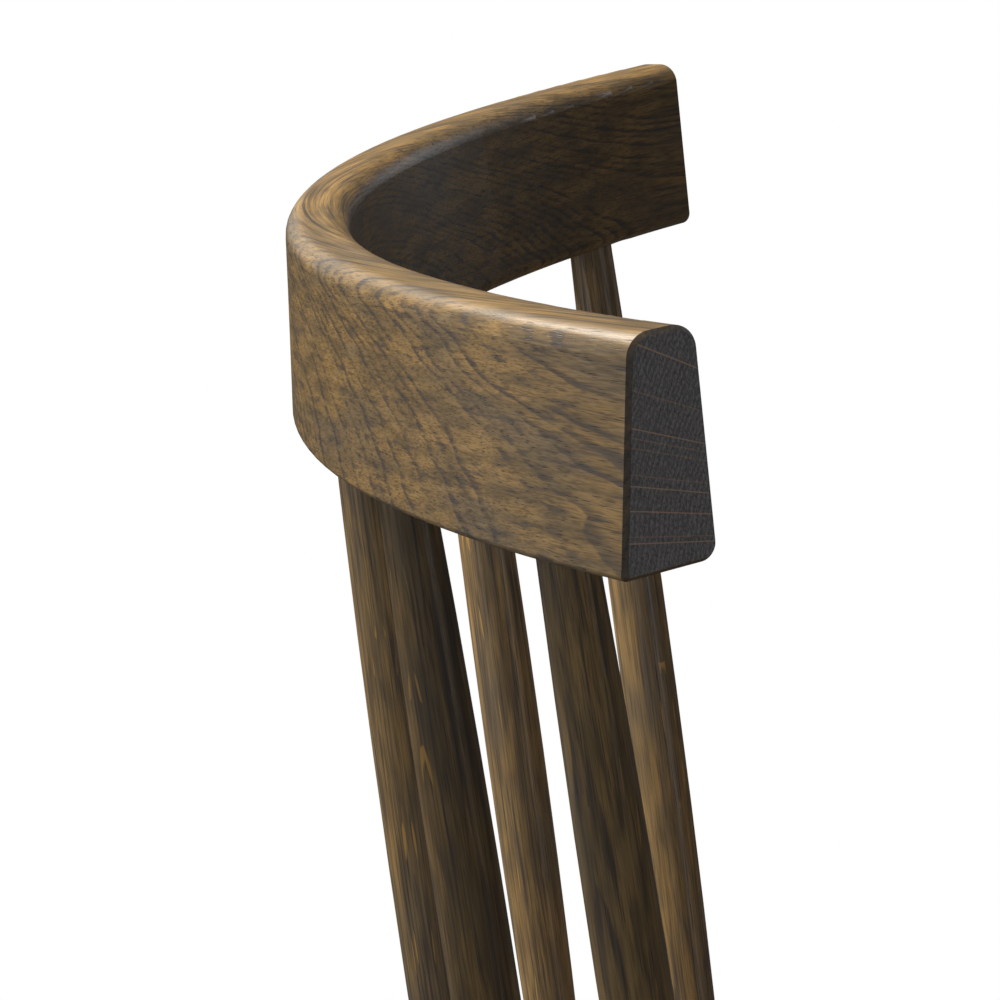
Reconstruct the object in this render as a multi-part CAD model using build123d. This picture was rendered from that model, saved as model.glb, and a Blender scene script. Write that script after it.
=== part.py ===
from build123d import *
import os
from math import cos, radians, sin, tan

# Spindle back chair in solid wood: a bent crest rail on five raked spindles, a glued-up dished seat,
# four splayed legs with wedged through tenons, and an H of stretchers.
# Millimetres and degrees. +Z is up, the sitter faces -Y, and the origin is under the middle of the chair.

# Crest rail
rail_chord = 502.0             # straight distance between the middles of its two end cuts
rail_middle_radius = 318.0     # plan radius of the middle stretch
rail_middle_turn = 28.0        # half the angle that the middle stretch turns through
rail_end_turn = 44.1           # direction of the rail at its ends, from straight across
rail_height = 64.8
rail_thickness = 29.4          # at the underside
rail_back_taper = 4.9          # how far the back face leans in over the height
rail_front_taper = 4.6         # how far the front face leans in over the height
rail_back_round = 6.7          # top edge, back side
rail_front_round = 7.7         # top edge, front side
rail_under_round = 4.4         # lower edge, front side
rail_ease = 1.2                # small bevel round the end cuts and along the lower back edge
rail_tilt = 5.6                # the whole rail leans back
rail_cut_turn = 10.8           # end cuts turn outwards from square
rail_cut_lean = 3.7            # end cuts lean, longer at the top
rail_rise = 350.0              # seat rim to the underside of the rail, at the middle

# Spindles
spindle_belly_diameter = 22.0
spindle_head_diameter = 16.9   # where it enters the rail
spindle_foot_diameter = 17.0   # where it enters the seat
spindle_head_tenon = 30.0
spindle_foot_tenon = 24.0
spindle_rake = 7.155           # backward lean of the middle spindle
spindle_rail_setin = 3.5       # in front of the middle of the rail's underside
spindle_edge_margin = 31.0     # spindle centres to the back edge of the seat
outer_spindle_end_margin = 51.0   # along the rail, from its end cut
inner_spindle_gap = 98.7       # along the rail, from the outer spindle
inner_spindle_seat_angle = 34.0
outer_spindle_seat_angle = 57.7

# Seat
seat_height = 440.0            # floor to the flat rim
seat_thickness = 38.0
seat_back_radius = 214.0
seat_side_angle = 6.0
seat_front_reach = 215.0       # from the centre of the back curve to the front corners
seat_front_bow = 12.0
seat_corner_radius = 55.0
seat_top_round = 5.0
seat_under_bevel_rise = 17.0
seat_under_bevel_reach = 30.0  # from the edge in under the seat
seat_dish_radius = 166.0
seat_dish_depth = 9.0
seat_dish_ease = 160.0         # radius that softens the edge of the dish
seat_rim_margin = 8.0          # flat rim left between the dish and the middle spindle
seat_joint_offset = 74.0       # glue lines, each side of the middle
seat_dowel_diameter = 8.0
seat_dowel_length = 40.0
seat_dowel_count = 3           # in each glue line
seat_dowel_spacing = 90.0
seat_dowel_leg_margin = 52.0   # rear dowel to the rear leg's tenon, front to back
seat_dowel_rise = 15.0         # above the underside of the seat

# Legs
leg_belly_diameter = 36.0
leg_tenon_diameter = 26.0
leg_foot_diameter = 23.0
leg_belly_drop = 165.0         # from the seat rim, along the leg
front_leg_side_margin = 72.0   # tenon centre to the side of the seat
front_leg_front_margin = 75.0  # tenon centre to the front corners' line
rear_leg_ring_margin = 50.6    # tenon centre to the ring of spindles
rear_leg_angle = 51.7          # round that ring from the middle of the back
front_leg_side_splay_angle = 6.5
front_leg_fore_splay_angle = 8.0
rear_leg_side_splay_angle = 11.0
rear_leg_back_splay_angle = 15.0
wedge_head_thickness = 3.4
wedge_tip_thickness = 1.2
wedge_length = 26.0

# Stretchers
stretcher_height = 185.0
side_stretcher_belly = 24.0
side_stretcher_tenon = 14.0
cross_stretcher_belly = 22.0
cross_stretcher_tenon = 12.0

# Glides and their nails
glide_diameter = 19.0
glide_height = 4.0
glide_bevel = 1.0
nail_diameter = 2.6
nail_head_diameter = 6.0
nail_head_height = 1.0
nail_length = 20.0
nail_recess = 0.6              # nail head above the floor

# Fits
glue_gap = 0.05                # all round each tenon
tenon_end_gap = 1.0            # behind the end of each blind tenon
straight_entry = 3.0           # length of full tenon size that shows outside a hole


# Curve of the rail in plan: a middle arc, and a flatter arc at each end that makes up the chord
middle_turn = radians(rail_middle_turn)
end_turn = radians(rail_end_turn)
middle_half_chord = rail_middle_radius * sin(middle_turn)
middle_half_length = rail_middle_radius * middle_turn
rail_end_radius = (rail_chord / 2 - middle_half_chord) / (sin(end_turn) - sin(middle_turn))
rail_half_length = middle_half_length + rail_end_radius * (end_turn - middle_turn)


def rail_plan(along):
    """Plan point and heading, in radians, at a distance along the rail from its middle."""
    distance = abs(along)
    side = 1 if along >= 0 else -1
    heading = distance / rail_middle_radius
    x = rail_middle_radius * sin(heading)
    y = rail_middle_radius * (cos(heading) - 1)
    if heading > middle_turn:
        heading = middle_turn + (distance - middle_half_length) / rail_end_radius
        x = middle_half_chord + rail_end_radius * (sin(heading) - sin(middle_turn))
        y = rail_middle_radius * (cos(middle_turn) - 1) + rail_end_radius * (cos(heading) - cos(middle_turn))
    return Vector(side * x, y, 0), side * heading


# Shared places
spindle_ring_radius = seat_back_radius - spindle_edge_margin
rail_origin = Vector(
    0,
    spindle_ring_radius + rail_rise * tan(radians(spindle_rake)) + spindle_rail_setin,
    seat_height + rail_rise,
)
rail_place = Pos(rail_origin) * Rot(-rail_tilt, 0, 0)
rail_reach = rail_half_length + rail_thickness    # past the end cuts, before they are made
rail_lower_back_round = 1.5 * rail_ease
seat_underside = seat_height - seat_thickness


def spindle_ends(along_rail, seat_angle):
    """Where a spindle's axis meets the seat rim and the rail's underside."""
    angle = radians(seat_angle)
    foot = Vector(spindle_ring_radius * sin(angle), spindle_ring_radius * cos(angle), seat_height)
    plan_point, heading = rail_plan(along_rail)
    inwards = Vector(-sin(heading), -cos(heading), 0)
    head = (rail_place * Pos(plan_point + inwards * spindle_rail_setin)).position
    return foot, head


def turned_piece(outline, plane):
    """A turned piece: one side of its outline, as a chain of edges, turned about a plane's Z axis."""
    start = outline[0] @ 0
    end = outline[-1] @ 1
    start_axis = (0, start.Y)
    end_axis = (0, end.Y)
    edges = [Line(start_axis, start), *outline, Line(end, end_axis), Line(end_axis, start_axis)]
    return plane.location * revolve(make_face(Plane.XZ * (Curve() + edges)), Axis.Z)


def bellied_outline(start, start_radius, belly_from, belly_at, belly_radius, belly_to, end_radius, end):
    """Edges of a turned outline: straight tenons at both ends and one long arc between them."""
    lower = Line((start_radius, start), (start_radius, belly_from))
    belly = ThreePointArc((start_radius, belly_from), (belly_radius, belly_at), (end_radius, belly_to))
    upper = Line((end_radius, belly_to), (end_radius, end))
    return [lower, belly, upper]


def straightened(outline, first_height, last_height):
    """The same outline with a short straight stretch on its belly, where a hole is drilled."""
    lower, belly, upper = outline
    belly_length = (belly @ 1).Y - (belly @ 0).Y
    first = (first_height - (belly @ 0).Y) / belly_length
    last = (last_height - (belly @ 0).Y) / belly_length
    before = ThreePointArc(belly @ 0, belly @ (first / 2), belly @ first)
    after = ThreePointArc(belly @ last, belly @ ((last + 1) / 2), belly @ 1)
    return [lower, before, Line(belly @ first, belly @ last), after, upper]


def hole(plane, radius, start, end):
    """A round hole along a plane's Z axis, from one height to another."""
    return plane.location * Pos(0, 0, (start + end) / 2) * Cylinder(radius, end - start)


# Spindles and their holes
def spindle_plane(foot, head):
    return Plane(origin=foot, x_dir=(1, 0, 0), z_dir=head - foot)


def make_spindle(foot, head):
    length = (head - foot).length
    outline = bellied_outline(
        start=-spindle_foot_tenon + tenon_end_gap,
        start_radius=spindle_foot_diameter / 2,
        belly_from=straight_entry,
        belly_at=length / 2,
        belly_radius=spindle_belly_diameter / 2,
        belly_to=length - straight_entry,
        end_radius=spindle_head_diameter / 2,
        end=length + spindle_head_tenon - tenon_end_gap,
    )
    return turned_piece(outline, spindle_plane(foot, head))


def spindle_rail_hole(foot, head):
    length = (head - foot).length
    radius = spindle_head_diameter / 2 + glue_gap
    return hole(spindle_plane(foot, head), radius, length - radius, length + spindle_head_tenon)


def spindle_seat_hole(foot, head):
    radius = spindle_foot_diameter / 2 + glue_gap
    return hole(spindle_plane(foot, head), radius, -spindle_foot_tenon, radius)


outer_spindle_along = rail_half_length - outer_spindle_end_margin
inner_spindle_along = outer_spindle_along - inner_spindle_gap
spindle_lines = {
    "spindle_centre": spindle_ends(0, 0),
    "spindle_left_inner": spindle_ends(-inner_spindle_along, -inner_spindle_seat_angle),
    "spindle_right_inner": spindle_ends(inner_spindle_along, inner_spindle_seat_angle),
    "spindle_left_outer": spindle_ends(-outer_spindle_along, -outer_spindle_seat_angle),
    "spindle_right_outer": spindle_ends(outer_spindle_along, outer_spindle_seat_angle),
}


# Crest rail
def rail_section():
    """Section across the rail: X points out of its back face, Y is up."""
    half = rail_thickness / 2
    top_width = rail_thickness - rail_back_taper - rail_front_taper
    back_bottom = (half, 0)
    back_top = (half - rail_back_taper, rail_height)
    front_top = (-half + rail_front_taper, rail_height)
    front_bottom = (-half, 0)
    rounds = {
        back_bottom: rail_lower_back_round,
        back_top: min(rail_back_round, top_width / 2),
        front_top: min(rail_front_round, top_width / 2),
        front_bottom: rail_under_round,
    }
    section = make_face(Polyline(*rounds, close=True))
    for corner, radius in rounds.items():
        section = fillet(section.vertices().sort_by_distance(corner)[0], radius)
    return section


def rail_end_plane(side):
    """Plane of an end cut, facing out of the rail."""
    point, heading = rail_plan(side * rail_half_length)
    along = Vector(cos(heading), -sin(heading), 0) * side
    outwards = Vector(sin(heading), cos(heading), 0)
    facing = along + outwards * tan(radians(rail_cut_turn)) - Vector(0, 0, tan(radians(rail_cut_lean)))
    return Plane(origin=point + Vector(0, 0, rail_height / 2), z_dir=facing)


def rail_path():
    """Plan curve of the rail in three arcs, run past both end cuts."""
    stations = [-rail_reach, -middle_half_length, middle_half_length, rail_reach]
    arcs = []
    for first, last in zip(stations, stations[1:]):
        places = (first, (first + last) / 2, last)
        arcs.append(ThreePointArc(*[rail_plan(place)[0] for place in places]))
    return Wire(arcs)


def make_rail():
    start, heading = rail_plan(-rail_reach)
    outwards = Vector(sin(heading), cos(heading), 0)
    along = Vector(cos(heading), -sin(heading), 0)
    section_plane = Plane(origin=start, x_dir=outwards, z_dir=along)
    rail = sweep(section_plane * rail_section(), path=rail_path())
    for side in (-1, 1):
        rail = split(rail, bisect_by=rail_end_plane(side), keep=Keep.BOTTOM)
    for end in (0, -1):
        end_face = rail.faces().sort_by(Axis.X)[end]
        rail = chamfer(end_face.edges(), length=rail_ease)
    rail = rail_place * rail
    for foot, head in spindle_lines.values():
        rail -= spindle_rail_hole(foot, head)
    return rail


# Legs
def seat_half_width(back):
    """Half the seat's width along its straight sides."""
    flare = radians(seat_side_angle)
    return seat_back_radius / cos(flare) - back * tan(flare)


def leg_line(side, half_gap, back, side_splay, back_splay):
    """Where a leg's axis meets the seat rim and the floor."""
    top = Vector(side * half_gap, back, seat_height)
    drop = Vector(side * tan(radians(side_splay)), tan(radians(back_splay)), -1)
    return top, top + drop * seat_height


def front_leg_line(side):
    back = front_leg_front_margin - seat_front_reach
    half_gap = seat_half_width(back) - front_leg_side_margin
    return leg_line(side, half_gap, back, front_leg_side_splay_angle, -front_leg_fore_splay_angle)


def rear_leg_line(side):
    ring = spindle_ring_radius - rear_leg_ring_margin
    angle = radians(rear_leg_angle)
    half_gap = ring * sin(angle)
    back = ring * cos(angle)
    return leg_line(side, half_gap, back, rear_leg_side_splay_angle, rear_leg_back_splay_angle)


leg_lines = {
    "leg_front_left": front_leg_line(-1),
    "leg_front_right": front_leg_line(1),
    "leg_rear_left": rear_leg_line(-1),
    "leg_rear_right": rear_leg_line(1),
}


def leg_plane(top, foot):
    """Z runs down the leg from the seat rim, X is across the chair."""
    down = (foot - top).normalized()
    across = Vector(1, 0, 0) - down * down.X
    return Plane(origin=top, x_dir=across, z_dir=down)


def leg_point(top, foot, height):
    """Point on a leg's axis at a height above the floor."""
    return top + (foot - top) * ((seat_height - height) / seat_height)


def leg_seat_hole(top, foot):
    depth = (foot - top).length * seat_thickness / seat_height
    radius = leg_tenon_diameter / 2 + glue_gap
    return hole(leg_plane(top, foot), radius, -radius, depth + radius)


def wedge_blank(top, foot):
    """Tapered slip across a leg's tenon, standing above the seat."""
    standing = wedge_length / 2
    taper = (wedge_head_thickness - wedge_tip_thickness) / 2 / wedge_length
    head_half = wedge_head_thickness / 2 + taper * standing
    tip_half = wedge_tip_thickness / 2
    outline = Polyline(
        (-head_half, -standing),
        (head_half, -standing),
        (tip_half, wedge_length),
        (-tip_half, wedge_length),
        close=True,
    )
    slip = extrude(Plane.YZ * make_face(outline), leg_tenon_diameter, both=True)
    return leg_plane(top, foot).location * slip


def dish_ball():
    """Ball that hollows the seat."""
    radius = (seat_dish_radius**2 + seat_dish_depth**2) / 2 / seat_dish_depth
    back_edge = spindle_ring_radius - spindle_foot_diameter / 2 - seat_rim_margin
    return Pos(0, back_edge - seat_dish_radius, seat_height - seat_dish_depth + radius) * Sphere(radius)


def flush_with_seat(piece):
    """Trim what stands above the seat."""
    size = 4 * seat_back_radius
    above = Pos(0, 0, seat_height + size / 2) * Box(size, size, size)
    return piece - above - dish_ball()


def make_leg(top, foot):
    length = (foot - top).length
    tenon_radius = leg_tenon_diameter / 2
    foot_radius = leg_foot_diameter / 2
    stretcher_at = length * (seat_height - stretcher_height) / seat_height
    outline = bellied_outline(
        start=-tenon_radius,
        start_radius=tenon_radius,
        belly_from=length * seat_thickness / seat_height + tenon_radius,
        belly_at=leg_belly_drop,
        belly_radius=leg_belly_diameter / 2,
        belly_to=length,
        end_radius=foot_radius,
        end=length + foot_radius,
    )
    outline = straightened(outline, stretcher_at - side_stretcher_tenon, stretcher_at + side_stretcher_tenon)
    leg = turned_piece(outline, leg_plane(top, foot))
    leg = split(leg, bisect_by=Plane.XY.offset(glide_height), keep=Keep.TOP)
    leg = flush_with_seat(leg - wedge_blank(top, foot))
    return leg - nail_hole(top, foot)


def make_wedge(top, foot):
    tenon = hole(leg_plane(top, foot), leg_tenon_diameter / 2, -wedge_length, 2 * wedge_length)
    return flush_with_seat(wedge_blank(top, foot) & tenon)


# Glides and nails
def glide_centre(top, foot):
    """On the floor, under the middle of a leg's foot."""
    point = leg_point(top, foot, glide_height)
    return Pos(point.X, point.Y, 0)


def nail_hole(top, foot):
    depth = nail_recess + nail_length + tenon_end_gap
    bore = Cylinder(nail_diameter / 2 + glue_gap, depth)
    return glide_centre(top, foot) * Pos(0, 0, depth / 2) * bore


def make_glide(top, foot):
    disc = Pos(0, 0, glide_height / 2) * Cylinder(glide_diameter / 2, glide_height)
    disc = chamfer(disc.edges().group_by(Axis.Z)[0], length=glide_bevel)
    sink_depth = nail_recess + nail_head_height
    sink = Pos(0, 0, sink_depth / 2) * Cylinder(nail_head_diameter / 2 + glue_gap, sink_depth)
    return glide_centre(top, foot) * (disc - sink) - nail_hole(top, foot)


def make_nail(top, foot):
    head = Pos(0, 0, nail_recess + nail_head_height / 2) * Cylinder(nail_head_diameter / 2, nail_head_height)
    shank = Pos(0, 0, nail_recess + nail_length / 2) * Cylinder(nail_diameter / 2, nail_length)
    return glide_centre(top, foot) * (head + shank)


# Stretchers
def stretcher_plane(start, end):
    return Plane(origin=start, x_dir=(0, 0, 1), z_dir=end - start)


def stretcher_outline(length, belly, tenon, housing_diameter):
    """Outline between two axes, with tenons that stop short of each axis."""
    straight = housing_diameter / 2 + straight_entry
    return bellied_outline(
        start=tenon_end_gap,
        start_radius=tenon / 2,
        belly_from=straight,
        belly_at=length / 2,
        belly_radius=belly / 2,
        belly_to=length - straight,
        end_radius=tenon / 2,
        end=length - tenon_end_gap,
    )


def stretcher_hole(start, end, tenon, housing_diameter):
    """Hole at the start of a stretcher, from the housing's axis outwards."""
    return hole(stretcher_plane(start, end), tenon / 2 + glue_gap, 0, housing_diameter)


def side_stretcher_ends(side):
    """Front and rear axis points of a side stretcher."""
    front = leg_point(*front_leg_line(side), stretcher_height)
    rear = leg_point(*rear_leg_line(side), stretcher_height)
    return front, rear


def cross_stretcher_ends():
    """Middles of the two side stretchers."""
    left_front, left_rear = side_stretcher_ends(-1)
    right_front, right_rear = side_stretcher_ends(1)
    return (left_front + left_rear) / 2, (right_front + right_rear) / 2


def make_side_stretcher(side):
    front, rear = side_stretcher_ends(side)
    length = (rear - front).length
    outline = stretcher_outline(length, side_stretcher_belly, side_stretcher_tenon, leg_belly_diameter)
    outline = straightened(outline, length / 2 - cross_stretcher_tenon, length / 2 + cross_stretcher_tenon)
    piece = turned_piece(outline, stretcher_plane(front, rear))
    left, right = cross_stretcher_ends()
    near, far = (left, right) if side < 0 else (right, left)
    return piece - stretcher_hole(near, far, cross_stretcher_tenon, side_stretcher_belly)


def make_cross_stretcher():
    left, right = cross_stretcher_ends()
    length = (right - left).length
    outline = stretcher_outline(length, cross_stretcher_belly, cross_stretcher_tenon, side_stretcher_belly)
    return turned_piece(outline, stretcher_plane(left, right))


# Seat
def seat_outline():
    flare = radians(seat_side_angle)
    side_start = Vector(seat_back_radius * cos(flare), seat_back_radius * sin(flare))
    corner = Vector(seat_half_width(-seat_front_reach), -seat_front_reach)
    left_start = Vector(-side_start.X, side_start.Y)
    left_corner = Vector(-corner.X, corner.Y)
    back = ThreePointArc(left_start, (0, seat_back_radius), side_start)
    front = ThreePointArc(corner, (0, -seat_front_reach - seat_front_bow), left_corner)
    edges = [back, Line(side_start, corner), front, Line(left_corner, left_start)]
    outline = make_face(edges)
    for point in (corner, left_corner):
        outline = fillet(outline.vertices().sort_by_distance(point)[0], seat_corner_radius)
    return outline


def make_seat_blank():
    seat = extrude(Pos(0, 0, seat_underside) * seat_outline(), seat_thickness)
    underside = seat.faces().sort_by(Axis.Z)[0]
    seat = chamfer(underside.edges(), seat_under_bevel_reach, seat_under_bevel_rise, reference=underside)
    seat = fillet(seat.faces().sort_by(Axis.Z)[-1].edges(), seat_top_round)
    seat -= dish_ball()
    dish_edge = seat.faces().filter_by(GeomType.SPHERE)[0].edges()
    return fillet(dish_edge, seat_dish_ease)


def seat_dowel_spots():
    height = seat_underside + seat_dowel_rise
    rear_leg_top, _ = rear_leg_line(1)
    rearmost = rear_leg_top.Y - seat_dowel_leg_margin
    return [
        Pos(side * seat_joint_offset, rearmost - step * seat_dowel_spacing, height) * Rot(0, 90, 0)
        for side in (-1, 1)
        for step in range(seat_dowel_count)
    ]


def make_seat_boards():
    """The seat cut along its two glue lines, with every hole that goes into it."""
    seat = make_seat_blank()
    for foot, head in spindle_lines.values():
        seat -= spindle_seat_hole(foot, head)
    for top, foot in leg_lines.values():
        seat -= leg_seat_hole(top, foot)
    for spot in seat_dowel_spots():
        radius = seat_dowel_diameter / 2 + glue_gap
        seat -= spot * Cylinder(radius, seat_dowel_length + 2 * tenon_end_gap)
    left_line = Plane.YZ.offset(-seat_joint_offset)
    right_line = Plane.YZ.offset(seat_joint_offset)
    middle = split(split(seat, bisect_by=left_line, keep=Keep.TOP), bisect_by=right_line, keep=Keep.BOTTOM)
    return {
        "seat_board_left": split(seat, bisect_by=left_line, keep=Keep.BOTTOM),
        "seat_board_centre": middle,
        "seat_board_right": split(seat, bisect_by=right_line, keep=Keep.TOP),
    }


def make_seat_dowels():
    return [spot * Cylinder(seat_dowel_diameter / 2, seat_dowel_length) for spot in seat_dowel_spots()]


# The whole chair, as one list of solids for each node
def make_chair():
    nodes = {"crest_rail": [make_rail()]}
    for name, (foot, head) in spindle_lines.items():
        nodes[name] = [make_spindle(foot, head)]
    for name, board in make_seat_boards().items():
        nodes[name] = [board]
    nodes["seat_dowels"] = make_seat_dowels()
    for name, (top, foot) in leg_lines.items():
        side = -1 if "left" in name else 1
        front, rear = side_stretcher_ends(side)
        start, end = (front, rear) if "front" in name else (rear, front)
        leg = make_leg(top, foot) - stretcher_hole(start, end, side_stretcher_tenon, leg_belly_diameter)
        nodes[name] = [leg]
    nodes["stretcher_left"] = [make_side_stretcher(-1)]
    nodes["stretcher_right"] = [make_side_stretcher(1)]
    nodes["stretcher_cross"] = [make_cross_stretcher()]
    nodes["leg_wedges"] = [make_wedge(*line) for line in leg_lines.values()]
    nodes["glides"] = [make_glide(*line) for line in leg_lines.values()]
    nodes["glide_nails"] = [make_nail(*line) for line in leg_lines.values()]
    return nodes


def write_chair():
    nodes = make_chair()
    solids = [solid for pieces in nodes.values() for piece in pieces for solid in piece.solids()]
    box = Compound(solids).bounding_box()
    to_origin = Pos(-box.center().X, -box.center().Y, -box.min.Z)
    print("shift to origin", to_origin.position)
    os.makedirs("parts", exist_ok=True)
    for name, pieces in nodes.items():
        placed = [to_origin * solid for piece in pieces for solid in piece.solids()]
        export_step(Compound(placed), f"parts/{name}.step")


write_chair()
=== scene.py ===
import math

import bpy
from mathutils import Matrix, Vector


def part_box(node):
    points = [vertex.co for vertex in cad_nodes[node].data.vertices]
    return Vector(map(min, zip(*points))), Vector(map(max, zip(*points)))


# Spindle back chair in smoked oak, seen close to one end of its crest rail.
# The chair and the studio are in metres, +Z is up and the sitter faces -Y.
# Wood is worked out in millimetres in the frame of its log: X and Y across the log from the pith,
# Z along the grain.

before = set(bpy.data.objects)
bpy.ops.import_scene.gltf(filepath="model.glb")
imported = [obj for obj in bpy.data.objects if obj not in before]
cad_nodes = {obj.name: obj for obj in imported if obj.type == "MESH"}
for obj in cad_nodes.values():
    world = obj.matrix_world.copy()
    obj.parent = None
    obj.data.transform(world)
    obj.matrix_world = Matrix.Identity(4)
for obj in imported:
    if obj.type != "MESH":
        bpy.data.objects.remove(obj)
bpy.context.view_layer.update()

millimetre = 0.001

# Crest rail, in millimetres apart from its origin
rail_origin = Vector((0.0, 0.22075, 0.790))   # middle of the rail's underside, in the chair's frame
rail_tilt = math.radians(5.6)
rail_bend_radius = 345.0        # mean radius that the grain follows
rail_half_length = 280.0
rail_pith_distance = 143.0      # from the rail to the pith of its log, on the sitter's side
rail_pith_height = -21.0        # of the pith, from the rail's underside
rail_ring_drift = 48.0          # how far the grain runs out between the ends and the middle
rail_tone = 1.0
rail_end_lighter = 0.5          # added to the tone on the end cuts
bevel_strength = 0.7            # of the darkening on the bevel round the end cuts

# Rays on the rail's end cuts, by height above the pith's level on a circle through the rail
strong_end_rays = (28.8, 36.6, 42.4, 55.3, 72.8)
faint_end_rays = (30.4, 45.0, 51.0, 53.2, 63.3)
strong_ray_strength = 1.0
faint_ray_strength = 0.4
ray_solid_half = 0.08           # half width of the solid part of a ray
ray_faded_half = 0.22           # half width at which it has faded out

# Logs of the other pieces, in millimetres
spindle_pith_distance = 62.0
leg_pith_distance = 75.0
seat_pith_depth = 95.0
plain_pith_offset = Vector((30, 20, 40))
log_lean = 0.31                 # slant of the direction in which a turned piece's log is laid

# How far each log is turned in radians, and a tone that is painted light and shade: the near spindles on
# the left are painted darker, as if in shade, and the far ones on the right lighter, as if lit
spindle_turns_and_painted_light = {
    "spindle_centre": (1.3, 1.1),
    "spindle_left_inner": (0.8, 0.68),
    "spindle_left_outer": (2.6, 0.88),
    "spindle_right_inner": (4.1, 1.4),
    "spindle_right_outer": (5.5, 1.45),
}
leg_first_turn = 0.4
leg_turn_step = 2.3
stretcher_first_turn = 0.9
stretcher_turn_step = 1.3
usual_tone = 1.0
plain_tone = 1.9
straight_end_strength = 0.65    # how far the end cuts of straight pieces take the look of end grain

# Seat boards come from logs that differ in place, in metres
seat_pith_spread = 0.02
seat_pith_step = 0.3

# Oak grain in millimetres: sizes across the grain twice, then along it
ring_width = 1.45
broad_wander_size = (28, 28, 160)
broad_wander = 4.0
fine_wander_size = (8, 8, 70)
fine_wander = 1.6
ring_tone_length = 70
streak_size = (2.1, 2.1, 80)
pore_size = (0.45, 0.45, 22)
fibre_size = (0.4, 0.4, 28)
line_size = (0.9, 0.9, 60)
mottle_size = (5, 5, 26)
patch_size = (15, 15, 60)
speckle_size = (0.4, 1.0, 3)
ray_count = 28                  # rays in each radian
ray_length = 38
ray_half_thickness = 0.045      # this and the next are shares of the space between rays
ray_half_length = 0.22

oak_gloss = 0.4
oak_bump_strength = 0.45
oak_bump_depth = 0.12           # in millimetres
glide_bump_strength = 0.5
glide_bump_depth = 0.05

# Studio, in metres
floor_half = 30.0
floor_fade_start = 0.45         # the floor fades to white between these distances
floor_fade_end = 1.15
floor_paint = (0.8, 0.8, 0.8, 1)
floor_bounce = (0.07, 0.07, 0.07, 1)      # floor and world as they light the chair, a dark studio
world_bounce = (0.04, 0.04, 0.044, 1)
white = (1, 1, 1, 1)
warm = (1.0, 0.965, 0.895)
cool = (0.94, 0.99, 1.06)

# Camera, fitted to the photo
camera_place = (-1.01951, 0.12167, 1.03266)
camera_yaw = math.radians(2.559)
camera_pitch = math.radians(15.479)
camera_lens = 112
camera_sensor = 36
camera_near = 0.05


def colour(red, green, blue):
    """A colour given as 0 to 255 on screen, as the linear values that the shader takes."""
    linear = []
    for part in (red, green, blue):
        value = part / 255
        linear.append(value / 12.92 if value <= 0.04045 else ((value + 0.055) / 1.055) ** 2.4)
    return (*linear, 1.0)


wood_dark = colour(113, 94, 66)
wood_light = colour(156, 125, 79)
patch_grey = colour(110, 97, 79)
early_brown = colour(90, 75, 56)
streak_pale = colour(160, 140, 110)
stain_grey = colour(66, 66, 68)
fibre_brown = colour(78, 63, 46)
line_dark = colour(54, 50, 46)
pore_dark = colour(48, 48, 50)
ray_brown = colour(70, 54, 38)
fleck_gold = colour(182, 140, 78)
end_dark = colour(82, 78, 76)
end_light = colour(122, 116, 112)
end_early = colour(72, 68, 66)
end_pore = colour(44, 42, 42)
end_ray_pale = colour(172, 138, 110)
bevel_black = colour(30, 24, 19)
glide_black = colour(30, 27, 25)
glide_scuffed = colour(58, 53, 49)
steel_bright = colour(202, 202, 204)
steel_dull = colour(142, 138, 134)


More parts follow.
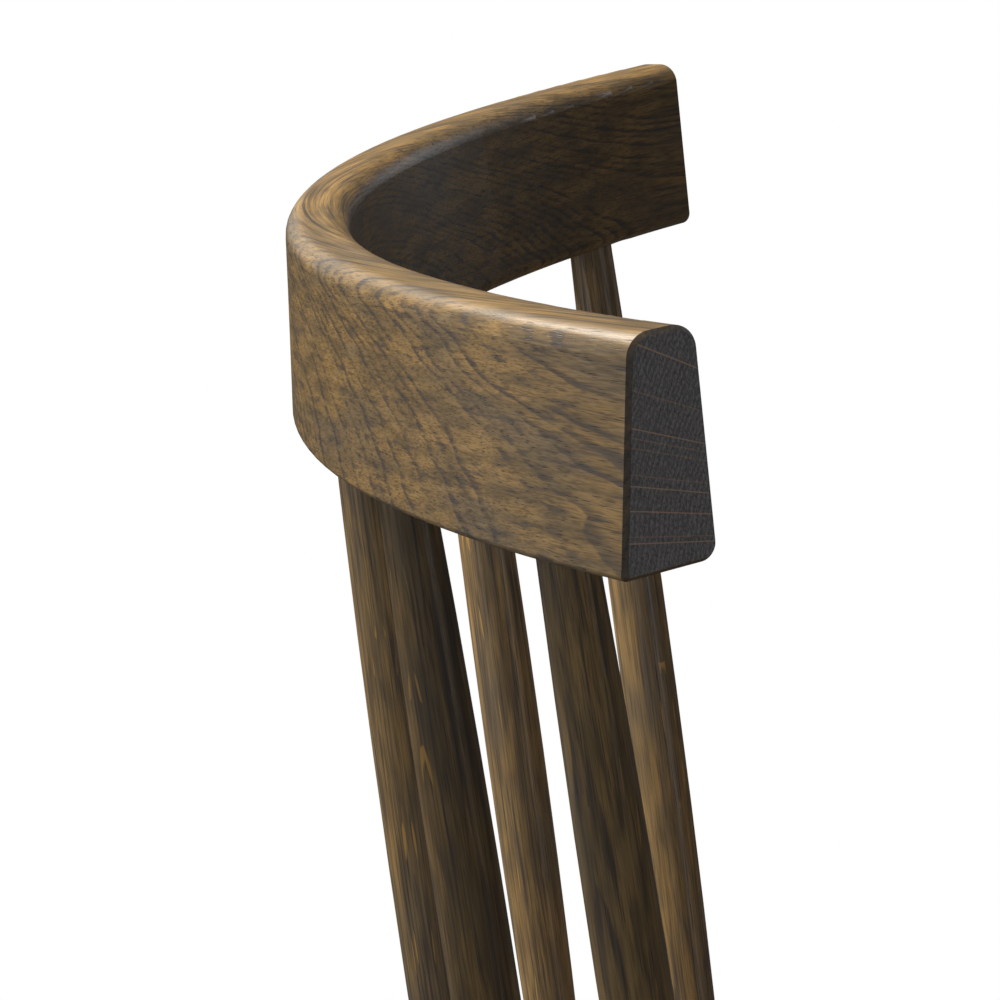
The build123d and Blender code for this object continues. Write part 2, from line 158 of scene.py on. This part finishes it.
class Graph:
    """Adds shader nodes to a tree and joins their sockets."""

    def __init__(self, tree):
        self.tree = tree

    def node(self, kind, **settings):
        made = self.tree.nodes.new(kind)
        for name, value in settings.items():
            setattr(made, name, value)
        return made

    def feed(self, socket, value):
        """Join a socket to another, or give it a constant."""
        if isinstance(value, bpy.types.NodeSocket):
            self.tree.links.new(value, socket)
        else:
            socket.default_value = value

    def math(self, operation, *values):
        made = self.node("ShaderNodeMath", operation=operation)
        for socket, value in zip(made.inputs, values):
            self.feed(socket, value)
        return made.outputs[0]

    def times(self, first, second):
        return self.math("MULTIPLY", first, second)

    def times_plus(self, first, second, third):
        """The first two multiplied, and the third added."""
        return self.math("MULTIPLY_ADD", first, second, third)

    def length(self, first, second):
        """Length of the long side of a right angled triangle."""
        return self.math("SQRT", self.times_plus(first, first, self.times(second, second)))

    def vector_math(self, operation, first, second):
        made = self.node("ShaderNodeVectorMath", operation=operation)
        self.feed(made.inputs[0], first)
        self.feed(made.inputs[1], second)
        return made.outputs

    def facing(self, normal, direction):
        """1 where a face looks along a direction, either way, and 0 where it lies along it."""
        return self.math("ABSOLUTE", self.vector_math("DOT_PRODUCT", normal, direction)["Value"])

    def vector(self, x, y, z):
        made = self.node("ShaderNodeCombineXYZ")
        for socket, value in zip(made.inputs, (x, y, z)):
            self.feed(socket, value)
        return made.outputs[0]

    def split(self, vector):
        made = self.node("ShaderNodeSeparateXYZ")
        self.feed(made.inputs[0], vector)
        return made.outputs[0], made.outputs[1], made.outputs[2]

    def stretched(self, place, size):
        """A place divided by a size in each direction."""
        return self.vector_math("DIVIDE", place, size)[0]

    def noise(self, place, detail=2.0, roughness=0.5):
        made = self.node("ShaderNodeTexNoise")
        self.feed(made.inputs["Vector"], place)
        made.inputs["Scale"].default_value = 1.0
        made.inputs["Detail"].default_value = detail
        made.inputs["Roughness"].default_value = roughness
        return made.outputs[0]

    def scattered(self, place):
        """Many scattered points, one to each unit cube."""
        made = self.node("ShaderNodeTexVoronoi")
        self.feed(made.inputs["Vector"], place)
        made.inputs["Scale"].default_value = 1.0
        return made.outputs

    def cells(self, place):
        """Distance to the nearest scattered point, and a number that belongs to that point."""
        points = self.scattered(place)
        own, _, _ = self.split(points["Color"])
        return points["Distance"], own

    def from_nearest(self, place):
        """Distance in each direction from the nearest scattered point."""
        points = self.scattered(place)
        return self.split(self.vector_math("SUBTRACT", place, points["Position"])[0])

    def rise(self, value, low, high):
        """0 below low, 1 above high, smooth between."""
        made = self.node("ShaderNodeMapRange", interpolation_type="SMOOTHSTEP")
        self.feed(made.inputs["Value"], value)
        made.inputs["From Min"].default_value = low
        made.inputs["From Max"].default_value = high
        return made.outputs[0]

    def fall(self, value, low, high):
        """1 below low, 0 above high, smooth between."""
        return self.math("SUBTRACT", 1.0, self.rise(value, low, high))

    def mix(self, factor, first, second):
        made = self.node("ShaderNodeMix", data_type="RGBA")
        self.feed(made.inputs[0], factor)
        self.feed(made.inputs[6], first)
        self.feed(made.inputs[7], second)
        return made.outputs[2]

    def layers(self, base, rows):
        """Lay tints over a colour, each where its mask shows and as strong as it says."""
        for mask, strength, tint in rows:
            base = self.mix(self.times(mask, strength), base, tint)
        return base

    def bump(self, surface, height, strength, depth):
        made = self.node("ShaderNodeBump")
        made.inputs["Strength"].default_value = strength
        made.inputs["Distance"].default_value = depth * millimetre
        self.feed(made.inputs["Height"], height)
        self.feed(surface.inputs["Normal"], made.outputs[0])

    def normal(self):
        return self.node("ShaderNodeNewGeometry").outputs["Normal"]


# Oak grain as one node group, the same for every piece
def growth_rings(graph, place):
    """Each ring starts with a band of large pores and ends in dense wood."""
    x, y, z = graph.split(place)
    broad = graph.noise(graph.stretched(place, broad_wander_size))
    fine = graph.noise(graph.stretched(place, fine_wander_size))
    little_wandered = graph.times_plus(fine, fine_wander, graph.length(x, y))
    ring = graph.math("DIVIDE", graph.times_plus(broad, broad_wander, little_wandered), ring_width)
    phase = graph.math("FRACT", ring)
    early = graph.math("MAXIMUM", graph.fall(phase, 0.1, 0.6), graph.rise(phase, 0.9, 1.0))

    # The tone of a ring changes where its early wood is away, so that no edge shows
    ring_number = graph.math("FLOOR", graph.math("ADD", ring, 0.25))
    down_the_ring = graph.math("DIVIDE", z, ring_tone_length)
    ring_tone = graph.noise(graph.vector(graph.times(ring_number, 1.7), 0.5, down_the_ring), detail=0)
    return early, graph.times(early, graph.rise(ring_tone, 0.3, 0.7))


def ray_sheets(graph, place):
    """Thin sheets that run out from the pith, dark lines on one face and pale flecks on the other."""
    x, y, z = graph.split(place)
    angle = graph.math("ARCTAN2", y, x)
    round_and_along = graph.vector(graph.times(angle, ray_count), 0.0, graph.math("DIVIDE", z, ray_length))
    beside, _, beyond = graph.from_nearest(round_and_along)
    across = graph.math("DIVIDE", graph.math("ABSOLUTE", beside), ray_half_thickness)
    lengthways = graph.math("DIVIDE", beyond, ray_half_length)
    return graph.fall(graph.times_plus(lengthways, lengthways, across), 0.55, 1.0)


def oak_grain():
    group = bpy.data.node_groups.new("oak_grain", "ShaderNodeTree")
    for name, direction, kind in (
        ("Place", "INPUT", "NodeSocketVector"),
        ("End grain", "INPUT", "NodeSocketFloat"),
        ("End ray", "INPUT", "NodeSocketFloat"),
        ("Fleck", "INPUT", "NodeSocketFloat"),
        ("Tone", "INPUT", "NodeSocketFloat"),
        ("Color", "OUTPUT", "NodeSocketColor"),
        ("Roughness", "OUTPUT", "NodeSocketFloat"),
        ("Height", "OUTPUT", "NodeSocketFloat"),
    ):
        group.interface.new_socket(name, in_out=direction, socket_type=kind)
    graph = Graph(group)
    given = graph.node("NodeGroupInput")
    result = graph.node("NodeGroupOutput")
    place = given.outputs["Place"]
    end_grain = given.outputs["End grain"]
    fleck = given.outputs["Fleck"]
    early, early_shade = growth_rings(graph, place)

    # Stain: a blue grey haze that lies in streaks where the pores are open
    streak = graph.noise(graph.stretched(place, streak_size), detail=3, roughness=0.6)
    stain = graph.rise(graph.times_plus(early_shade, 0.17, streak), 0.52, 0.74)

    # Pores: long tubes along the grain, crowded in the early part of each ring
    pore_distance, pore_own = graph.cells(graph.stretched(place, pore_size))
    pore_share = graph.times_plus(stain, 0.45, graph.times_plus(early, 0.3, 0.06))
    pore_there = graph.math("LESS_THAN", pore_own, pore_share)
    pore = graph.times(pore_there, graph.fall(pore_distance, 0.12, 0.42))

    # Fibres and slow changes of colour
    fibre = graph.noise(graph.stretched(place, fibre_size), detail=3)
    line = graph.rise(graph.noise(graph.stretched(place, line_size)), 0.56, 0.7)
    mottle = graph.noise(graph.stretched(place, mottle_size), detail=3)
    patch = graph.noise(graph.stretched(place, patch_size), detail=1)

    # Colour along the grain, in layers from the wood itself to its pores and rays
    wood = graph.mix(graph.rise(mottle, 0.3, 0.7), wood_dark, wood_light)
    ray_strength = graph.times_plus(fleck, 0.5, 0.3)
    ray_tint = graph.mix(fleck, ray_brown, fleck_gold)
    wood = graph.layers(wood, (
        (graph.rise(patch, 0.45, 0.7), 0.6, patch_grey),
        (early_shade, 0.42, early_brown),
        (graph.fall(streak, 0.34, 0.48), 0.18, streak_pale),
        (stain, 0.66, stain_grey),
        (graph.fall(fibre, 0.32, 0.58), 0.6, fibre_brown),
        (line, 0.45, line_dark),
        (pore, 0.8, pore_dark),
        (ray_sheets(graph, place), ray_strength, ray_tint),
    ))

    # Colour of the end cuts
    speckle = graph.noise(graph.stretched(place, speckle_size))
    end = graph.mix(graph.rise(speckle, 0.3, 0.7), end_dark, end_light)
    end = graph.layers(end, (
        (early, 0.45, end_early),
        (pore, 0.7, end_pore),
        (given.outputs["End ray"], 0.7, end_ray_pale),
    ))

    toned = graph.node("ShaderNodeVectorMath", operation="SCALE")
    graph.feed(toned.inputs[0], graph.mix(end_grain, wood, end))
    graph.feed(toned.inputs["Scale"], given.outputs["Tone"])
    roughness = graph.times_plus(pore, 0.2, graph.times_plus(fibre, -0.12, 0.41))
    graph.feed(result.inputs["Color"], toned.outputs[0])
    graph.feed(result.inputs["Roughness"], graph.times_plus(end_grain, 0.22, roughness))
    graph.feed(result.inputs["Height"], graph.times_plus(pore, -1.0, graph.times(fibre, 0.35)))
    return group


grain_group = oak_grain()


# Materials
def empty_graph(owner):
    """The node tree of a new material or world, emptied."""
    owner.use_nodes = True
    owner.node_tree.nodes.clear()
    return Graph(owner.node_tree)


def start_material(name):
    material = bpy.data.materials.new(name)
    graph = empty_graph(material)
    surface = graph.node("ShaderNodeBsdfPrincipled")
    output = graph.node("ShaderNodeOutputMaterial")
    graph.feed(output.inputs["Surface"], surface.outputs[0])
    return material, graph, surface


def finish_oak(graph, surface, place, end_grain, end_ray, fleck, tone):
    """Join the grain to a surface and return its colour."""
    grain = graph.node("ShaderNodeGroup", node_tree=grain_group)
    graph.feed(grain.inputs["Place"], place)
    graph.feed(grain.inputs["End grain"], end_grain)
    graph.feed(grain.inputs["End ray"], end_ray)
    graph.feed(grain.inputs["Fleck"], fleck)
    graph.feed(grain.inputs["Tone"], tone)
    graph.feed(surface.inputs["Roughness"], grain.outputs["Roughness"])
    graph.bump(surface, grain.outputs["Height"], oak_bump_strength, oak_bump_depth)
    surface.inputs["Specular IOR Level"].default_value = oak_gloss
    return grain.outputs["Color"]


def in_frame(graph, origin, rotation):
    """Object coordinates in millimetres, in a frame of their own."""
    coordinates = graph.node("ShaderNodeTexCoord")
    mapping = graph.node("ShaderNodeMapping", vector_type="TEXTURE")
    mapping.inputs["Location"].default_value = origin
    mapping.inputs["Rotation"].default_value = rotation
    mapping.inputs["Scale"].default_value = (millimetre, millimetre, millimetre)
    graph.feed(mapping.inputs["Vector"], coordinates.outputs["Object"])
    return mapping.outputs[0]


def rail_end_rays(graph, out, up):
    """The few rays that the rail's end cuts show."""
    around = graph.times(graph.math("ARCTAN2", up, out), rail_pith_distance)
    shown = 0.0
    for heights, strength in ((strong_end_rays, strong_ray_strength), (faint_end_rays, faint_ray_strength)):
        for height in heights:
            off = graph.math("ABSOLUTE", graph.math("SUBTRACT", around, height))
            ray = graph.fall(off, ray_solid_half, ray_faded_half)
            shown = graph.math("MAXIMUM", shown, graph.times(ray, strength))
    return shown


def rail_oak():
    """Grain that is bent with the rail and runs out a little towards the middle."""
    material, graph, surface = start_material("smoked_oak_rail")
    x, y, z = graph.split(in_frame(graph, rail_origin, (-rail_tilt, 0, 0)))
    from_centre = graph.math("ADD", y, rail_bend_radius)
    turn = graph.math("ARCTAN2", x, from_centre)
    along = graph.times(turn, rail_bend_radius)
    wave = graph.math("COSINE", graph.times(along, math.pi / rail_half_length))
    run_out = graph.times_plus(wave, -rail_ring_drift / 2, graph.length(x, from_centre))
    out = graph.math("ADD", run_out, rail_pith_distance - rail_bend_radius - rail_ring_drift / 2)
    up = graph.math("SUBTRACT", z, rail_pith_height)
    place = graph.vector(out, up, along)

    upright_normal = graph.node("ShaderNodeMapping", vector_type="NORMAL")
    upright_normal.inputs["Rotation"].default_value = (rail_tilt, 0, 0)
    graph.feed(upright_normal.inputs["Vector"], graph.normal())
    minus_sine = graph.times(graph.math("SINE", turn), -1.0)
    grain_direction = graph.vector(graph.math("COSINE", turn), minus_sine, 0.0)
    facing = graph.facing(upright_normal.outputs[0], grain_direction)

    # The bevel round the end cut is drawn darker
    bevel = graph.times(graph.rise(facing, 0.5, 0.6), graph.fall(facing, 0.86, 0.95))
    end_grain = graph.rise(facing, 0.45, 0.85)
    end_ray = rail_end_rays(graph, out, up)
    tone = graph.times_plus(end_grain, rail_end_lighter, rail_tone)
    wood = finish_oak(graph, surface, place, end_grain, end_ray, 0.0, tone)
    graph.feed(surface.inputs["Base Color"], graph.layers(wood, ((bevel, bevel_strength, bevel_black),)))
    return material


def square_to(direction, along):
    """The part of a direction that stands square to another, one unit long."""
    return (direction - along * direction.dot(along)).normalized()


def straight_oak(name, origin, grain, outwards, tone):
    """Straight grain through a point on the pith: grain runs along it, outwards points to the bark."""
    material, graph, surface = start_material(name)
    along = grain.normalized()
    out = square_to(outwards, along)
    side = along.cross(out)
    axes = Matrix((out, side, along)).transposed()
    place = in_frame(graph, origin, axes.to_euler())
    normal = graph.normal()
    fleck = graph.rise(graph.facing(normal, side), 0.7, 0.95)
    end_grain = graph.times(graph.rise(graph.facing(normal, along), 0.55, 0.9), straight_end_strength)
    wood = finish_oak(graph, surface, place, end_grain, 0.0, fleck, tone)
    graph.feed(surface.inputs["Base Color"], wood)
    return material


def set_material(node_name, material):
    mesh = cad_nodes[node_name].data
    mesh.materials.clear()
    mesh.materials.append(material)


def axis_of(node_name):
    """Middle of the lower end and direction of a long turned piece."""
    low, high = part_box(node_name)
    points = [vertex.co for vertex in cad_nodes[node_name].data.vertices]
    span = high - low
    longest = max(range(3), key=lambda axis: span[axis])
    end_part = 0.02 * span[longest]
    near_low = [point for point in points if point[longest] < low[longest] + end_part]
    near_high = [point for point in points if point[longest] > high[longest] - end_part]
    first = sum(near_low, Vector()) / len(near_low)
    last = sum(near_high, Vector()) / len(near_high)
    return first, last - first


def dress_turned(node_name, turn, pith_distance, tone):
    """Give a turned piece a log of its own, turned about its axis."""
    foot, axis = axis_of(node_name)
    along = axis.normalized()
    sideways = Vector((math.cos(turn), math.sin(turn), log_lean * math.sin(turn)))
    out = square_to(sideways, along)
    pith = foot - out * pith_distance * millimetre + along * turn
    set_material(node_name, straight_oak(f"smoked_oak_{node_name}", pith, axis, out, tone))


def dress_plain(node_name, grain):
    """Lighter oak without the smoke, for the wedges and dowels."""
    low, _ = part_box(node_name)
    pith = low - plain_pith_offset * millimetre
    outwards = Vector((1, 1, 0))
    set_material(node_name, straight_oak(f"plain_oak_{node_name}", pith, grain, outwards, plain_tone))


def glide_plastic():
    """Matt moulded plastic, finely pitted and a little scuffed."""
    material, graph, surface = start_material("glide_plastic")
    place = in_frame(graph, (0, 0, 0), (0, 0, 0))
    pits = graph.noise(graph.stretched(place, (0.25, 0.25, 0.25)), detail=3)
    scuff = graph.noise(graph.stretched(place, (3, 9, 3)), detail=4)
    plastic = graph.mix(graph.rise(scuff, 0.45, 0.75), glide_black, glide_scuffed)
    graph.feed(surface.inputs["Base Color"], plastic)
    graph.feed(surface.inputs["Roughness"], graph.times_plus(scuff, 0.3, 0.45))
    graph.bump(surface, pits, glide_bump_strength, glide_bump_depth)
    return material


def nail_steel():
    """Bright drawn steel with fine lines and dull spots."""
    material, graph, surface = start_material("nail_steel")
    place = in_frame(graph, (0, 0, 0), (0, 0, 0))
    lines = graph.noise(graph.stretched(place, (0.08, 1.5, 1.5)))
    spots = graph.noise(graph.stretched(place, (0.9, 0.9, 0.9)), detail=3)
    steel = graph.mix(graph.rise(spots, 0.5, 0.75), steel_bright, steel_dull)
    roughness = graph.times_plus(lines, 0.25, graph.times_plus(spots, 0.2, 0.12))
    graph.feed(surface.inputs["Base Color"], steel)
    surface.inputs["Metallic"].default_value = 1.0
    graph.feed(surface.inputs["Roughness"], roughness)
    return material


# Every piece of the chair
set_material("crest_rail", rail_oak())
for number, name in enumerate(sorted(cad_nodes)):
    if name in spindle_turns_and_painted_light:
        # The tone paints light and shade on each spindle
        turn, tone = spindle_turns_and_painted_light[name]
        dress_turned(name, turn, spindle_pith_distance, tone)
    if name.startswith("leg_") and name != "leg_wedges":
        dress_turned(name, leg_first_turn + leg_turn_step * number, leg_pith_distance, usual_tone)
    if name.startswith("stretcher"):
        turn = stretcher_first_turn + stretcher_turn_step * number
        dress_turned(name, turn, spindle_pith_distance, usual_tone)
for number, name in enumerate(("seat_board_left", "seat_board_centre", "seat_board_right")):
    low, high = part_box(name)
    middle = (low + high) / 2
    pith_across = middle.x + seat_pith_spread * (number - 1)
    pith = Vector((pith_across, seat_pith_step * number, low.z - seat_pith_depth * millimetre))
    board_oak = straight_oak(f"smoked_oak_{name}", pith, Vector((0, 1, 0)), Vector((0, 0, 1)), usual_tone)
    set_material(name, board_oak)
dress_plain("leg_wedges", Vector((0, 0, 1)))
dress_plain("seat_dowels", Vector((1, 0, 0)))
set_material("glides", glide_plastic())
set_material("glide_nails", nail_steel())


# Floor, light and camera
def put_in_scene(name, data):
    holder = bpy.data.objects.new(name, data)
    bpy.context.scene.collection.objects.link(holder)
    return holder


def point_along(holder, direction):
    holder.rotation_euler = direction.to_track_quat("-Z", "Y").to_euler()


def seen_in_picture(graph):
    """1 for what the camera sees, also through glass, and 0 for reflections and for light on the chair."""
    path = graph.node("ShaderNodeLightPath")
    return graph.math("MAXIMUM", path.outputs["Is Camera Ray"], path.outputs["Is Transmission Ray"])


def make_floor():
    """A pale floor that keeps the shadow near the chair and fades to white away from it."""
    mesh = bpy.data.meshes.new("floor")
    corners = [(-floor_half, -floor_half, 0), (floor_half, -floor_half, 0)]
    corners += [(floor_half, floor_half, 0), (-floor_half, floor_half, 0)]
    mesh.from_pydata(corners, [], [(0, 1, 2, 3)])
    floor = put_in_scene("floor", mesh)
    material = bpy.data.materials.new("pale_floor")
    graph = empty_graph(material)
    seen = seen_in_picture(graph)
    paint = graph.node("ShaderNodeBsdfDiffuse")
    graph.feed(paint.inputs["Color"], graph.mix(seen, floor_bounce, floor_paint))
    glow = graph.node("ShaderNodeEmission")
    distance = graph.node("ShaderNodeVectorMath", operation="LENGTH")
    graph.feed(distance.inputs[0], graph.node("ShaderNodeTexCoord").outputs["Object"])
    far = graph.rise(distance.outputs["Value"], floor_fade_start, floor_fade_end)
    mixed = graph.node("ShaderNodeMixShader")
    graph.feed(mixed.inputs[0], graph.times(seen, far))
    graph.feed(mixed.inputs[1], paint.outputs[0])
    graph.feed(mixed.inputs[2], glow.outputs[0])
    output = graph.node("ShaderNodeOutputMaterial")
    graph.feed(output.inputs["Surface"], mixed.outputs[0])
    mesh.materials.append(material)


def make_world():
    world = bpy.data.worlds.new("studio")
    bpy.context.scene.world = world
    graph = empty_graph(world)
    background = graph.node("ShaderNodeBackground")
    graph.feed(background.inputs["Color"], graph.mix(seen_in_picture(graph), world_bounce, white))
    output = graph.node("ShaderNodeOutputWorld")
    graph.feed(output.inputs["Surface"], background.outputs[0])


def add_lamp(name, place, target, width, height, power, tint):
    lamp = bpy.data.lights.new(name, "AREA")
    lamp.shape = "RECTANGLE"
    lamp.size = width
    lamp.size_y = height
    lamp.energy = power
    lamp.color = tint
    holder = put_in_scene(name, lamp)
    holder.location = place
    point_along(holder, Vector(target) - Vector(place))


def add_camera():
    camera = bpy.data.cameras.new("camera")
    camera.sensor_width = camera_sensor
    camera.lens = camera_lens
    camera.clip_start = camera_near
    holder = put_in_scene("camera", camera)
    holder.location = camera_place
    level = math.cos(camera_pitch)
    forward = (math.cos(camera_yaw) * level, math.sin(camera_yaw) * level, -math.sin(camera_pitch))
    point_along(holder, Vector(forward))
    bpy.context.scene.camera = holder


make_floor()
make_world()
add_lamp("back_light", (0.4, 1.25, 2.65), (0, 0.1, 0.7), 1.5, 1.5, 124, warm)
add_lamp("far_light", (2.0, 1.4, 1.6), (0, 0.1, 0.7), 1.2, 1.8, 5, warm)
add_lamp("back_panel", (-0.4, 2.4, 0.7), (0, 0.1, 0.8), 3.0, 1.4, 6, cool)
add_lamp("side_light", (-1.7, 1.8, 1.15), (0, 0.1, 0.7), 1.2, 1.8, 12, cool)
add_lamp("end_light", (-2.5, 0.2, 1.05), (0, 0.1, 0.8), 0.6, 0.9, 4, cool)
add_lamp("edge_light", (-1.1, -1.9, 1.0), (0, 0.1, 0.7), 0.12, 1.6, 4, cool)
add_lamp("front_fill", (2.1, -1.7, 1.5), (0, 0, 0.5), 1.2, 1.2, 6, cool)
add_camera()
bpy.context.scene.view_settings.view_transform = "Standard"
